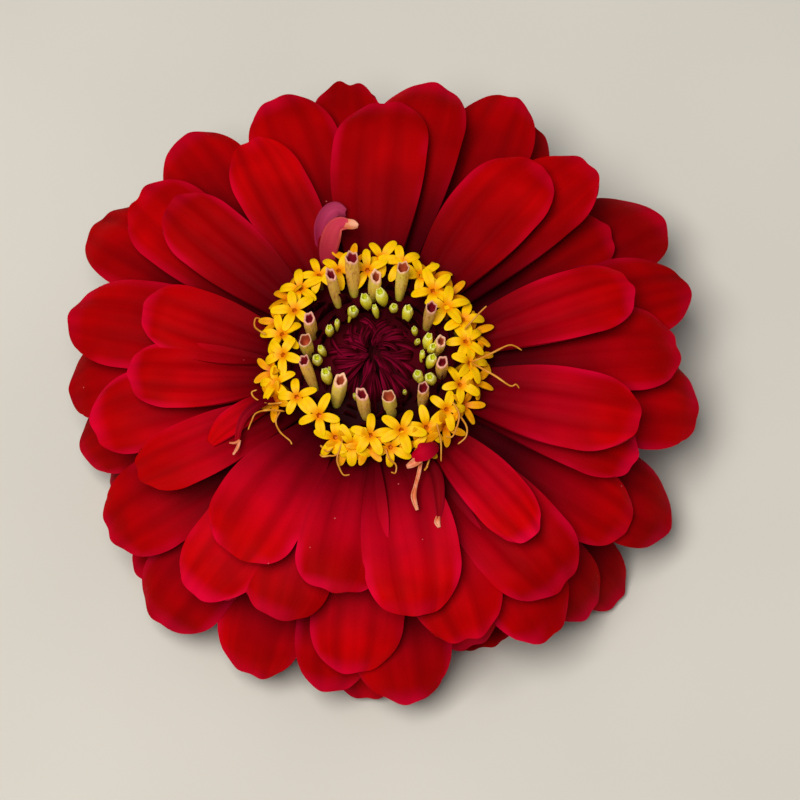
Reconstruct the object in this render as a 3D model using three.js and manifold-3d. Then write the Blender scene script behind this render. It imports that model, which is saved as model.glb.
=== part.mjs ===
// A double zinnia bloom, picked with a short length of its stalk and set face up on a table.
// Millimetres, +Z up. The origin is on the table, under the middle of the bloom. -Y is the near side.
// From the table up: the cut stalk, which swells into the receptacle; the green involucre around it;
// five rows of ray florets, the lowest lying on the table at their tips; and the disc, with its ring
// of open florets, its florets still in bud, and the crown of chaff in the middle.
import * as THREE from "three";
import { mergeVertices } from "three/addons/utils/BufferGeometryUtils.js";
import Module from "manifold-3d";

const wasm = await Module();
wasm.setup();

// Driving sizes. Heights are above the table, and radii are from the flower's axis.
const AIR = 0.3; // the gap between pieces that touch
const STALK = { radius: 2.3, bore: 1.1, boreDepth: 4.5, neck: 4 };
const RECEPTACLE = { base: [3.3, 6.6], flank: [6.4, 10.2], shoulder: [8.6, 13.5], top: 23.7 };
const COLLAR = { outer: 10.6, bottom: 13.9 }; // the ring of ovaries that the ray florets grow from
const INVOLUCRE = { bottom: 5.2, hole: 3.6, rim: 16.4, outer: 11.9 };
const BRACTS = { around: 12, thickness: 0.8, tips: [38, 60, 82], dip: 13 }; // tips and dip in degrees
const RAY = { thickness: 0.6, rootDepth: 1.1, channel: 0.1, rollDown: 0.16, notch: 0.035, curl: 1.6 };
const LAID_OUT = 0.6; // how far a ray's tip slides out along the table for each mm it would be under it
const DISC_FLOOR = RECEPTACLE.top + AIR;
const STAR_RING = { inner: 8.9, outer: 10.3, height: 1.2 };
const STAR = { count: 24, radius: 11.9, top: 28, reach: 2.75, notch: 1.15, thickness: 0.6, tube: 0.7 };
const BUD_RING = { inner: 5.3, outer: 8.6, height: 1 };
const BUD = { foot: 0.6, mouth: 0.6, depth: 1.4 }; // as shares of a bud's half width
const CROWN = { radius: 5.0, dome: 2.6, height: 5.4 };
const PALE = { count: 22, foot: 0.92, tip: 0.12, leanIn: 0.62, swirl: 34 }; // foot and tip are half widths

// The five rows of ray florets, the uppermost first. A row's rays leave the collar at root, climbing
// at rise degrees, and curve over until their tips are at tip. Each ray is
// [azimuth, reach of the tip from the axis, width, and how far its tip is above its row's].
// A tip that would be under the table lies flat on it: the lowest row rests on four of these.
const RAY_ROWS = [
  {
    root: 22.7, rise: 13, tip: 25,
    rays: [
      [18, 34.9, 8.2, -0.5], [54, 34.9, 11.6, 0.8], [87, 36.9, 10.9, 0.3], [118, 35.0, 8.4, 0],
      [138, 34.0, 9.8, 0.6], [165, 30.0, 8.2, 0.5], [182, 30.8, 7.8, 0], [206, 32.5, 7.2, -1],
      [236, 30.4, 10.8, 0.4], [261, 30.2, 9.8, 0], [280, 33.2, 10.8, -0.6], [311, 30.3, 7.6, 0],
      [348, 34.4, 9.6, -0.4],
    ],
  },
  {
    root: 21.6, rise: 7, tip: 19.5,
    rays: [
      [7, 39.6, 10.2, -1], [47, 39.5, 10.0, 2.5], [79, 41.2, 11.0, 2.5], [108, 40.0, 10.2, 2],
      [141, 38.8, 10.4, 0.5], [167, 38.8, 10.6, -0.5], [190, 36.3, 9.6, 0], [232, 36.3, 9.6, 0],
      [249, 34.0, 10.4, 0.5], [290, 36.7, 10.6, 0], [311, 36.8, 11.2, 0], [342, 35.2, 8.2, 0.5],
    ],
  },
  {
    root: 20.5, rise: 1, tip: 13,
    rays: [
      [20, 43.2, 10.4, 1.5], [35, 37.4, 8.6, 5], [66, 43.2, 10.2, 6], [95, 42.0, 9.0, 5.5],
      [126, 42.6, 10.6, 3.5], [148, 43.8, 10.6, 1], [178, 39.3, 9.8, 0], [209, 38.0, 10.8, 0],
      [266, 37.4, 10.4, -0.5], [305, 38.6, 10.6, 0], [331, 37.6, 9.4, 1], [357, 42.3, 11.8, 0],
    ],
  },
  {
    root: 19.4, rise: -5, tip: 7,
    rays: [
      [4, 41.5, 10.4, 1], [32, 44.8, 11.0, 6], [48, 38.4, 9.6, 5], [62, 43.6, 10.6, 8], [80, 38.6, 10.0, 3],
      [108, 38.6, 10.2, 3], [137, 38.4, 10.0, 2], [165, 38.0, 10.0, 0.5], [190, 39.0, 9.4, 0],
      [226, 39.4, 11.0, 0], [246, 38.4, 10.2, -0.5], [262, 37.4, 9.4, 0.5], [276, 38.8, 11.6, 0],
      [292, 34.6, 9.8, 0], [316, 39.6, 8.6, 0.5], [338, 42.0, 11.0, 1],
    ],
  },
  {
    root: 18.3, rise: -13, tip: 1.5,
    rays: [
      [16, 36.5, 9.8, 0.5], [44, 33.5, 9.8, -7], [73, 36.5, 9.6, 0.5], [102, 36.0, 9.8, 1],
      [131, 33.5, 9.6, -7], [160, 36.0, 9.8, 0.5], [187, 36.5, 9.6, 0], [214, 33.5, 9.8, -7],
      [243, 36.0, 9.4, 0.5], [269, 36.5, 9.8, 1], [297, 31.8, 9.8, -7], [323, 39.6, 8.8, 0.5],
      [349, 36.5, 9.6, 0],
    ],
  },
];

// Five undersized rays beside the disc, curled up between the big ones and the open disc florets.
const YOUNG_RAYS = {
  root: 23.0, rise: 4, tip: 27,
  rays: [
    [100, 18.4, 2.6, 0], [110, 19.6, 3.0, 0.5], [207, 22.0, 2.8, -1], [217, 19.0, 2.2, 0],
    [291, 18.6, 2.6, 0],
  ],
};

// The whorls of florets in bud, the outer first.
const BUD_WHORLS = [
  { count: 14, radius: 7.5, height: 6.9, width: 1.9, lean: 5 },
  { count: 16, radius: 5.95, height: 4.0, width: 1.3, lean: 0 },
];

// A seeded draw of numbers from -1 to 1, the same on every run.
function seededDraw(seed) {
  let state = seed >>> 0;
  return () => {
    state = (Math.imul(state, 1664525) + 1013904223) >>> 0;
    return state / 2147483648 - 1;
  };
}

const radians = THREE.MathUtils.degToRad;
const polar = (radius, azimuth, z) =>
  new THREE.Vector3(radius * Math.cos(radians(azimuth)), radius * Math.sin(radians(azimuth)), z);

// A geometry as a solid for joining, and a solid as a geometry.
function solidOf(geometry) {
  const bare = geometry.clone();
  bare.deleteAttribute("normal");
  bare.deleteAttribute("uv");
  const merged = mergeVertices(bare, 1e-4);
  return new wasm.Manifold(
    new wasm.Mesh({
      numProp: 3,
      vertProperties: merged.attributes.position.array,
      triVerts: new Uint32Array(merged.index.array),
    }),
  );
}

function geometryOf(solid) {
  const mesh = solid.getMesh();
  const geometry = new THREE.BufferGeometry();
  geometry.setAttribute("position", new THREE.BufferAttribute(new Float32Array(mesh.vertProperties), 3));
  geometry.setIndex(new THREE.BufferAttribute(new Uint32Array(mesh.triVerts), 1));
  geometry.computeVertexNormals();
  return geometry;
}

const joined = (solids) => solids.reduce((whole, solid) => whole.add(solid));

// A geometry from points and the triangles between them.
function meshOf(points, index) {
  const geometry = new THREE.BufferGeometry().setFromPoints(points);
  geometry.setIndex(index);
  return geometry;
}

// A solid turned about the flower's axis, from its outline of [radius, height] points.
function turned(outline, segments) {
  const points = outline.map(([radius, height]) => new THREE.Vector2(radius, height));
  return new THREE.LatheGeometry(points, segments).rotateX(Math.PI / 2);
}

function ring({ inner, outer }, bottom, top, segments) {
  return turned([[inner, bottom], [outer, bottom], [outer, top], [inner, top], [inner, bottom]], segments);
}

// A surface through loops of points that run counterclockwise seen from above, closed on itself.
function looped(loops) {
  const around = loops[0].length;
  const index = [];
  for (let i = 0; i < loops.length; i++) {
    const low = i * around;
    const high = ((i + 1) % loops.length) * around;
    for (let j = 0; j < around; j++) {
      const next = (j + 1) % around;
      index.push(low + j, low + next, high + next, low + j, high + next, high + j);
    }
  }
  return meshOf(loops.flat(), index);
}

// A closed blade: point(along, across, face) gives its surface, with across from -1 to 1, and face 1
// above and 0 below. Both faces are split into triangles alike.
function blade(stations, point) {
  const crossings = [-1, 0, 1];
  const points = [0, 1].flatMap((face) =>
    stations.flatMap((along) => crossings.map((across) => point(along, across, face))),
  );
  const index = [];
  const at = (face, i, j) => (face * stations.length + i) * 3 + j;
  const quad = (a, b, c, d) => index.push(a, b, c, a, c, d);
  const tip = stations.length - 1;
  for (let i = 0; i < tip; i++) {
    for (const j of [0, 1]) {
      quad(at(1, i, j), at(1, i + 1, j), at(1, i + 1, j + 1), at(1, i, j + 1));
      quad(at(0, i + 1, j + 1), at(0, i + 1, j), at(0, i, j), at(0, i, j + 1));
    }
    quad(at(0, i, 0), at(0, i + 1, 0), at(1, i + 1, 0), at(1, i, 0));
    quad(at(1, i, 2), at(1, i + 1, 2), at(0, i + 1, 2), at(0, i, 2));
  }
  for (const j of [0, 1]) {
    quad(at(1, 0, j), at(1, 0, j + 1), at(0, 0, j + 1), at(0, 0, j));
    quad(at(0, tip, j), at(0, tip, j + 1), at(1, tip, j + 1), at(1, tip, j));
  }
  return meshOf(points, index);
}

// The curve of a ray's midrib, for a length of 1: its slope turns from rise to fall degrees, most of
// it near the tip. Each step of the track is [out, up].
const MIDRIB_STEPS = 40;
function trackOf(rise, fall) {
  const track = [[0, 0]];
  for (let i = 0; i < MIDRIB_STEPS; i++) {
    const slope = radians(rise + (fall - rise) * ((i + 0.5) / MIDRIB_STEPS) ** RAY.curl);
    const [out, up] = track[i];
    track.push([out + Math.cos(slope) / MIDRIB_STEPS, up + Math.sin(slope) / MIDRIB_STEPS]);
  }
  return track;
}

// The midrib that leaves the collar at rise degrees and ends at a reach and a height. Halving finds
// the fall that does it.
function midrib(root, rise, reach, tip) {
  const span = reach - COLLAR.outer;
  let [steep, shallow] = [-130, 110];
  while (shallow - steep > 0.1) {
    const middle = (steep + shallow) / 2;
    const [out, up] = trackOf(rise, middle)[MIDRIB_STEPS];
    if (up * span < (tip - root) * out) steep = middle;
    else shallow = middle;
  }
  const track = trackOf(rise, steep);
  const length = span / track[MIDRIB_STEPS][0];
  return (along) => {
    const step = Math.min(Math.floor(Math.max(along, 0) * MIDRIB_STEPS), MIDRIB_STEPS - 1);
    const part = along * MIDRIB_STEPS - step;
    const [out, up] = track[step].map((value, k) => value + (track[step + 1][k] - value) * part);
    const slope = radians(rise + (steep - rise) * Math.max(along, 0) ** RAY.curl);
    return { radius: COLLAR.outer + out * length, height: root + up * length, slope, length };
  };
}

// A ray's half width along its length, as a share of its width: a narrow claw, a broad limb, a blunt
// tip. The first of these is the end that is sunk in the collar.
const RAY_STATIONS = [0, 0.32, 0.64, 0.87, 1];
const RAY_OUTLINE = [0.15, 0.15, 0.29, 0.48, 0.47, 0.27];

// One ray floret. Its claw is channelled, its limb rolls down at the edges, and it twists by roll
// degrees and bends aside by sweep degrees on its way to the tip.
function rayBlade(row, [azimuth, reach, width, above], roll, sweep) {
  const rib = midrib(row.root, row.rise, reach, row.tip + above);
  const stations = [-RAY.rootDepth / rib(0).length, ...RAY_STATIONS];
  return blade(stations, (along, across, face) => {
    const grown = Math.max(along, 0);
    const notched = along === 1 && across === 0 ? along - RAY.notch : along;
    const { radius, height, slope } = rib(notched);
    const aside = across * RAY_OUTLINE[stations.indexOf(along)] * width;
    const bow = Math.abs(across) * width * (RAY.channel * (1 - grown) - RAY.rollDown * grown ** 2);
    const turn = radians(roll * grown);
    const proud = bow + aside * Math.sin(turn) + (face - 0.5) * RAY.thickness;
    const facing = azimuth + sweep * (grown ** 2 - 1);
    const up = height + Math.cos(slope) * proud;
    const under = Math.max(face * RAY.thickness - up, 0);
    const middle = polar(radius - Math.sin(slope) * proud + LAID_OUT * under, facing, up + under);
    return middle.add(polar(aside * Math.cos(turn), facing + 90, 0));
  });
}

// Every ray floret, its claw sunk in the collar around the receptacle.
function rayFlorets() {
  const draw = seededDraw(7);
  const inner = RECEPTACLE.shoulder[0] + AIR;
  const collar = ring({ inner, outer: COLLAR.outer }, COLLAR.bottom, RECEPTACLE.top, 30);
  const blades = [...RAY_ROWS, YOUNG_RAYS].flatMap((row) =>
    row.rays.map((ray) => rayBlade(row, ray, 6 * draw(), 2 * draw())),
  );
  return joined([collar, ...blades].map(solidOf));
}

// One open disc floret: a five-lobed star, its lobes curved back by so much per square millimetre of
// reach, on a narrow tube that stands on the ring.
const LOBE_DROOP = 0.09;
function openFloret(azimuth, radius, top, turn, lean) {
  const corners = [0, 1, 2, 3, 4].flatMap((lobe) => [
    polar(STAR.notch, 72 * lobe - 36, 0),
    polar(STAR.reach, 72 * lobe, 0),
  ]);
  const outline = new THREE.Shape(corners.map(({ x, y }) => new THREE.Vector2(x, y)));
  const star = new THREE.ExtrudeGeometry(outline, { depth: STAR.thickness, bevelEnabled: false });
  const at = star.attributes.position;
  for (let i = 0; i < at.count; i++)
    at.setZ(i, at.getZ(i) - LOBE_DROOP * (at.getX(i) ** 2 + at.getY(i) ** 2));
  star.rotateZ(radians(turn)).rotateY(radians(lean)).translate(radius, 0, top).rotateZ(radians(azimuth));

  const foot = polar((STAR_RING.inner + STAR_RING.outer) / 2, azimuth, DISC_FLOOR + STAR_RING.height / 2);
  const head = polar(radius, azimuth, top + STAR.thickness / 2);
  const upward = head.clone().sub(foot);
  const tube = new THREE.CylinderGeometry(STAR.tube, STAR.tube * 0.7, upward.length(), 4);
  const leaning = new THREE.Quaternion().setFromUnitVectors(new THREE.Vector3(0, 1, 0), upward.normalize());
  tube.applyQuaternion(leaning).translate(...foot.add(head).multiplyScalar(0.5).toArray());
  return solidOf(star).add(solidOf(tube));
}

// The ring of open disc florets, on a low ring that is hidden under them.
function openFlorets() {
  const draw = seededDraw(21);
  const florets = [solidOf(ring(STAR_RING, DISC_FLOOR, DISC_FLOOR + STAR_RING.height, 24))];
  for (let i = 0; i < STAR.count; i++) {
    const outward = i % 2 ? 0.6 : -0.3;
    const azimuth = (360 / STAR.count) * i + 2 * draw();
    const radius = STAR.radius + outward + 0.1 * draw();
    const top = STAR.top - outward + 0.2 * draw();
    florets.push(openFloret(azimuth, radius, top, 36 * draw(), 12 + 6 * draw()));
  }
  return joined(florets);
}

// One floret in bud: a tube that widens upwards to a lip round its open mouth.
function budFloret({ radius, height, width }, azimuth, lean) {
  const half = width / 2;
  const outline = [
    [0, 0], [half * BUD.foot, 0], [half, height], [half * BUD.mouth, height], [0, height - half * BUD.depth],
  ];
  const tube = turned(outline, 6).rotateY(radians(lean));
  return solidOf(tube.translate(radius, 0, DISC_FLOOR + BUD_RING.height / 2).rotateZ(radians(azimuth)));
}

// The two whorls of buds, on a low ring of their own.
function budFlorets() {
  const draw = seededDraw(5);
  const buds = [solidOf(ring(BUD_RING, DISC_FLOOR, DISC_FLOOR + BUD_RING.height, 24))];
  for (const whorl of BUD_WHORLS)
    for (let i = 0; i < whorl.count; i++)
      buds.push(budFloret(whorl, (360 / whorl.count) * (i + 0.12 * draw()), whorl.lean + 2 * draw()));
  return joined(buds);
}

// One pale of the chaff: a three-sided point that leans in over the middle and swirls round it.
function chaffPoint(azimuth, radius, height) {
  const loops = [0, 0.55, 1].map((along) => {
    const centre = polar(radius * (1 - PALE.leanIn * along ** 1.5), azimuth + PALE.swirl * along, 0);
    const half = PALE.foot + (PALE.tip - PALE.foot) * along;
    const z = DISC_FLOOR + CROWN.dome / 2 + height * along;
    return [0, 1, 2].map((corner) => polar(half, 120 * corner + azimuth, z).add(centre));
  });
  const index = [0, 2, 1, 6, 7, 8];
  for (const low of [0, 3])
    for (let corner = 0; corner < 3; corner++) {
      const next = (corner + 1) % 3;
      index.push(low + corner, low + next, low + next + 3, low + corner, low + next + 3, low + corner + 3);
    }
  return meshOf(loops.flat(), index);
}

// The chaff in the middle: a low dome, and two whorls of points that stand out of it.
function chaffCrown() {
  const draw = seededDraw(11);
  const { radius, dome, height } = CROWN;
  const outline = [[0, 0], [radius, 0], [radius, dome / 2], [radius * 0.6, dome], [0, dome * 0.8]];
  const parts = [solidOf(turned(outline, 20).translate(0, 0, DISC_FLOOR))];
  const whorls = [{ foot: 0.45 * radius, tall: 1 }, { foot: 0.76 * radius, tall: 0.86 }];
  for (let i = 0; i < PALE.count; i++) {
    const { foot, tall } = whorls[i % 2];
    const rise = (height - dome / 2) * tall * (1 + 0.06 * draw());
    parts.push(solidOf(chaffPoint((360 / PALE.count) * i + 3 * draw(), foot, rise)));
  }
  return joined(parts);
}

// The involucre: a cup, a quarter of an ellipse in outline, covered with rows of blunt bracts. Each
// row ends in a scalloped step, and the next row comes out from under it.
const SCALLOP = [1, 0.25, 0, 0.25]; // the dip of a bract's edge, from the gap beside it past its tip
function involucre() {
  const around = BRACTS.around * SCALLOP.length;
  const wide = INVOLUCRE.outer - INVOLUCRE.hole;
  const tall = INVOLUCRE.rim - INVOLUCRE.bottom;
  const onCup = (angle, azimuth, proud) =>
    polar(
      INVOLUCRE.hole + (wide + proud) * Math.sin(radians(angle)),
      azimuth,
      INVOLUCRE.rim - (tall + proud) * Math.cos(radians(angle)),
    );
  const loop = (point) => Array.from({ length: around }, (_, j) => point(j, (360 / around) * j));

  const loops = [loop((j, azimuth) => onCup(0, azimuth, 0))];
  BRACTS.tips.forEach((tip, row) => {
    const dipAt = (j) => SCALLOP[(j + 2 * (row % 2)) % SCALLOP.length];
    const angleAt = (j) => tip - BRACTS.dip * dipAt(j);
    loops.push(loop((j, azimuth) => onCup(angleAt(j), azimuth, BRACTS.thickness * (1 - 0.5 * dipAt(j)))));
    loops.push(loop((j, azimuth) => onCup(angleAt(j) + 1, azimuth, 0)));
  });
  const [shoulder] = RECEPTACLE.shoulder;
  const seat = COLLAR.bottom - AIR;
  const inside = [
    [COLLAR.outer + AIR, INVOLUCRE.rim], [COLLAR.outer + AIR, seat], [shoulder + AIR, seat],
    [RECEPTACLE.flank[0] + AIR, RECEPTACLE.flank[1] - 0.2], [INVOLUCRE.hole, RECEPTACLE.base[1] - 0.2],
  ];
  for (const [radius, height] of inside) loops.push(loop((j, azimuth) => polar(radius, azimuth, height)));
  return looped(loops);
}

// The cut stalk, hollow as a zinnia's is, and the receptacle that it swells into.
function stalkAndReceptacle() {
  return turned(
    [
      [0, STALK.boreDepth], [STALK.bore, STALK.boreDepth], [STALK.bore, 0], [STALK.radius, 0],
      [STALK.radius, STALK.neck], RECEPTACLE.base, RECEPTACLE.flank, RECEPTACLE.shoulder,
      [RECEPTACLE.shoulder[0], RECEPTACLE.top], [0, RECEPTACLE.top],
    ],
    24,
  );
}

function piece(name, geometry, color, roughness) {
  const mesh = new THREE.Mesh(geometry, new THREE.MeshStandardMaterial({ color, roughness, metalness: 0 }));
  mesh.name = name;
  return mesh;
}

const zinnia = new THREE.Group();
zinnia.add(
  piece("stalk", stalkAndReceptacle(), 0x7d9a4a, 0.6),
  piece("involucre", involucre(), 0x5f7d35, 0.7),
  piece("ray_florets", geometryOf(rayFlorets()), 0xb00a18, 0.65),
  piece("open_disc_florets", geometryOf(openFlorets()), 0xf5b70a, 0.6),
  piece("bud_florets", geometryOf(budFlorets()), 0xc3c46a, 0.6),
  piece("chaff_crown", geometryOf(chaffCrown()), 0x3d0a18, 0.8),
);

// The axis stands where the bloom's spread is centred over the origin.
const spread = new THREE.Box3().setFromObject(zinnia);
zinnia.position.set(-(spread.min.x + spread.max.x) / 2, -(spread.min.y + spread.max.y) / 2, 0);

export default zinnia;
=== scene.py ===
import math
import random

import bpy
from mathutils import Matrix, Vector


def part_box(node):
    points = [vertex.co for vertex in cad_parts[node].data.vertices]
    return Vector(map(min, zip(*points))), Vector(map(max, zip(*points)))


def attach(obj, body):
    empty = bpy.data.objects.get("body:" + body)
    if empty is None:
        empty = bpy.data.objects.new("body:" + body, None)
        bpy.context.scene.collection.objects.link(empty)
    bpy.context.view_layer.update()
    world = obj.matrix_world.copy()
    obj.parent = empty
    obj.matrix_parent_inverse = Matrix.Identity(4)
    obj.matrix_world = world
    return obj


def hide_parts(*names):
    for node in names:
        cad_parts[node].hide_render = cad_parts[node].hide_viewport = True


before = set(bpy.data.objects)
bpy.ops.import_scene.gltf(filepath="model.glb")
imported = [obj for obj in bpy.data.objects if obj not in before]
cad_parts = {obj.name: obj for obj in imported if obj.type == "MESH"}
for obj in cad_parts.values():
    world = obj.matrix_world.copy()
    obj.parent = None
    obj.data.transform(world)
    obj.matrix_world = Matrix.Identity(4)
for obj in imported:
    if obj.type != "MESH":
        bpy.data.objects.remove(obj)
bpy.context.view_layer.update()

MM = 0.001

stalk_low, stalk_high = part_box("stalk")
AXIS = Vector(((stalk_low.x + stalk_high.x) / 2, (stalk_low.y + stalk_high.y) / 2, 0))
COLLAR_RADIUS = 10.6  # mm from the axis, where the rays leave the receptacle
DISC_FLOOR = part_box("chaff_crown")[0].z / MM
cup_low, cup_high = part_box("involucre")
CUP_RIM, CUP_DEPTH = cup_high.z / MM, (cup_high.z - cup_low.z) / MM

# The rays, as in the solids, but fitted closer to the flower's outline: many tips reach up to 2 mm further,
# three up to 1.4 mm less, and some rays stand up to 9 degrees from the solid ones. For each row: the height
# of its roots, its climb in degrees as it leaves the collar, the height of its tips, and for each ray its
# azimuth, reach, width and how far its tip is above the row's.
RAY_ROWS = [
    (22.7, 13, 25, [
        (18, 34.9, 8.2, -0.5), (52, 34.9, 10.0, 0.8), (87, 36.9, 10.9, 0.3), (118, 35.0, 8.4, 0),
        (140, 34.0, 8.4, 0.6), (165, 30.0, 8.2, 0.5), (182, 30.8, 7.8, 0), (206, 32.5, 7.2, -1),
        (236, 30.4, 10.8, 0.4), (261, 30.2, 9.8, 0), (280, 33.2, 10.8, -0.6), (311, 30.3, 6.8, 0),
        (348, 34.4, 9.6, -0.4),
    ]),
    (21.6, 7, 19.5, [
        (7, 40.2, 10.4, -1), (46, 40.3, 10.2, 2.5), (79, 41.8, 11.0, 2.5), (108, 41.0, 10.4, 2),
        (140, 40.2, 10.4, 0.5), (167, 40.2, 10.8, -0.5), (190, 36.3, 9.6, 0), (232, 36.3, 9.6, 0),
        (249, 34.0, 10.4, 0.5), (290, 36.7, 10.6, 0), (311, 36.8, 11.2, 0), (342, 35.2, 8.2, 0.5),
    ]),
    (20.5, 1, 13, [
        (20, 43.8, 10.6, 1.5), (35, 37.4, 8.6, 5), (66, 44.4, 10.6, 6), (95, 43.0, 9.4, 5.5),
        (126, 43.6, 10.8, 3.5), (147, 44.6, 11.0, 1), (178, 40.0, 9.8, 0), (209, 39.0, 10.8, 0),
        (266, 37.4, 10.4, -0.5), (305, 39.6, 10.6, 0), (331, 37.6, 9.4, 1), (358, 42.8, 11.8, 0),
    ]),
    (19.4, -5, 7, [
        (4, 41.5, 10.4, 1), (34, 46.0, 12.0, 6), (48, 38.4, 9.6, 5), (62, 44.0, 10.6, 8),
        (77, 40.0, 10.0, 3), (112, 40.0, 10.2, 3), (137, 40.4, 10.0, 2), (159, 39.4, 10.0, 0.5),
        (188, 38.4, 9.4, 0), (226, 40.2, 11.0, 0), (246, 39.2, 10.2, -0.5), (262, 38.4, 9.4, 0.5),
        (277, 39.6, 11.6, 0), (292, 34.6, 9.8, 0), (316, 40.0, 8.6, 0.5), (338, 42.0, 11.0, 1),
    ]),
    (18.3, -13, 1.5, [
        (16, 36.5, 9.8, 0.5), (44, 33.5, 9.8, -7), (73, 36.5, 9.6, 0.5), (102, 36.0, 9.8, 1),
        (131, 33.5, 9.6, -7), (160, 36.0, 9.8, 0.5), (196, 36.2, 9.6, 0), (214, 33.5, 9.8, -7),
        (243, 36.8, 9.4, 0.5), (269, 38.0, 9.8, 1), (297, 30.4, 9.8, -7), (323, 41.0, 8.8, 0.5),
        (349, 36.5, 9.6, 0),
    ]),
]
RAY_THICKNESS = 0.35
RAY_COLUMNS, RAY_STEPS = 22, 38
ROOT_DEPTH = 1.1  # mm of a claw that are sunk in the collar
CLAW_SHARE = 0.32  # a claw's width as a share of the limb's
RAY_FULLNESS = 1.12  # how much broader a soft limb is than its faceted solid
CHANNEL, ROLL_DOWN = 0.10, 0.16  # how far edges are up at the claw and down at the tip, in widths
CURL = 1.6  # how late along a ray its slope changes
GROOVE_AT, GROOVE_WIDE = 0.38, 0.15  # the two furrows of a limb, as shares of its half width
LAID_OUT = 0.8  # how far a tip slides out along the table for each mm it would be under it
FOOT_BEND = 0.5  # mm above the table at which a resting tip starts to bend out
MIDRIB_STEPS = 40

POLLEN_APART = 4.5  # mm between the clumps of pollen that lie on the rays
BLADES_APART = 40  # how far apart in the noise two blades are whose habits differ by 1

CUP_FOOT, CUP_FLARE = 3.6, 8.3  # mm from the axis at the cup's foot, and how much further out at its rim
BRACTS_IN_WHORL = 12
STALK_HAIRS = 90

PICTURE = 800  # pixels across
PIXELS_PER_MM = 8  # at the height of the disc
DISC_LEFT, DISC_ABOVE = 28, 45  # pixels from the picture's middle to the disc's

# The open disc florets: azimuth and radius of each star, read off the flower.
STARS = [
    (10, 12.1), (24, 12.7), (35, 11.6), (49, 11.9), (61, 13.0), (74, 13.6), (85, 13.9), (93, 12.0),
    (110, 12.6), (121, 13.3), (134, 13.3), (148, 11.7), (165, 11.9), (180, 11.3), (196, 12.6), (211, 11.1),
    (231, 10.6), (247, 11.8), (258, 12.1), (269, 10.8), (281, 12.3), (290, 10.9), (306, 11.7), (323, 11.8),
    (341, 11.8), (356, 12.4),
]
STAR_TOP = 28.0
STAR_RADIUS = 11.9  # the ring's middle radius, which a star's height and tilt are counted from
TURNED_TO_LIGHT = 28  # degrees that the florets on the far side are turned to the near one
# The florets that opened first, now shrinking and orange under the ring's outer edge.
SPENT_STARS = [
    (17, 13.3), (42, 13.4), (57, 13.9), (101, 13.7), (141, 13.6), (156, 13.2), (187, 12.7), (204, 13.0),
    (254, 12.0), (267, 11.7), (298, 12.6), (316, 12.8), (333, 13.0), (348, 13.2), (3, 13.3),
]

# The bigger florets in bud: azimuth and radius of the foot, then of the mouth, the mouth's height, and
# which of the four BUD_MOUTHS each has.
LARGE_BUDS = [
    (104, 9.5, 102, 12.2, 31.0, 0), (119, 8.8, 118, 11.0, 30.8, 1), (90, 8.7, 87, 9.6, 30.2, 3),
    (69, 9.4, 70, 11.4, 30.8, 2), (155, 8.2, 152, 8.9, 30.2, 1), (172, 7.9, 172, 8.4, 30.0, 2),
    (207, 7.9, 192, 8.6, 30.8, 0), (231, 7.2, 227, 5.7, 30.4, 3), (265, 7.4, 258, 6.0, 30.0, 1),
    (290, 7.4, 289, 6.4, 29.8, 2), (317, 8.6, 321, 8.2, 30.0, 0), (349, 8.9, 349, 8.9, 30.2, 1),
    (10, 8.0, 8, 8.7, 30.0, 3), (35, 8.3, 36, 9.2, 30.4, 0),
]
# The mouth's radius in mm, the slant it is cut at, and how much its lip flares. The last two are creamier.
BUD_MOUTHS = [(0.6, 0.3, 0.0), (0.5, 0.6, -0.02), (0.66, 0.2, 0.04), (0.42, 0.7, -0.08)]
LARGE_BUD, SMALL_BUD = 6.0, 3.2  # their heights as they are modelled
# The small ones inside them: azimuth, radius and size.
SMALL_BUDS = [
    (113, 6.5, 1.0), (94, 7.0, 1.0), (79, 7.7, 1.1), (68, 7.1, 0.8), (84, 5.8, 0.6), (51, 6.8, 1.0),
    (32, 6.4, 0.6), (21, 5.9, 0.5), (14, 7.0, 0.9), (9, 7.3, 0.8), (358, 6.2, 0.5), (353, 7.2, 0.95),
    (336, 6.4, 0.9), (333, 6.9, 0.7), (338, 8.1, 1.05), (148, 6.3, 0.8), (138, 6.0, 0.5), (184, 6.8, 0.95),
    (174, 6.0, 0.7), (209, 6.2, 1.0), (202, 5.9, 0.4), (312, 6.2, 0.4), (250, 5.7, 0.4), (120, 5.9, 0.35),
]


def linear(colour):
    """An sRGB hex colour, such as 'b00a18', as linear red, green, blue and alpha."""
    channels = [int(colour[k:k + 2], 16) / 255 for k in (0, 2, 4)]
    return [c / 12.92 if c < 0.04045 else ((c + 0.055) / 1.055) ** 2.4 for c in channels] + [1]


def add(tree, kind, inputs=(), **settings):
    """A shader node with its settings, and its inputs set to values or linked to other nodes' outputs. The
    inputs go by their places in a list, or by names or places in a dict. Returns the node's outputs."""
    made = tree.nodes.new(kind)
    for name, value in settings.items():
        setattr(made, name, value)
    for key, value in inputs.items() if isinstance(inputs, dict) else enumerate(inputs):
        if isinstance(value, bpy.types.NodeSocket):
            tree.links.new(value, made.inputs[key])
        else:
            made.inputs[key].default_value = value
    return made.outputs


def new_material(name, **sockets):
    """A new material, with its Principled shader's own sockets set, and its tree."""
    material = bpy.data.materials.new(name)
    material.use_nodes = True
    shader = material.node_tree.nodes["Principled BSDF"]
    for socket, value in sockets.items():
        shader.inputs[socket.replace("_", " ")].default_value = value
    return material, material.node_tree


def dressed(material, face, height=None, depth=0.0, strength=0.0):
    """The material with the colours of its face and, where it has one, a relief of a depth in mm."""
    tree = material.node_tree
    shader = tree.nodes["Principled BSDF"]
    tree.links.new(face, shader.inputs["Base Color"])
    if height is not None:
        relief = {"Height": height, "Distance": depth * MM, "Strength": strength}
        tree.links.new(add(tree, "ShaderNodeBump", relief)[0], shader.inputs["Normal"])
    return material


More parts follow.
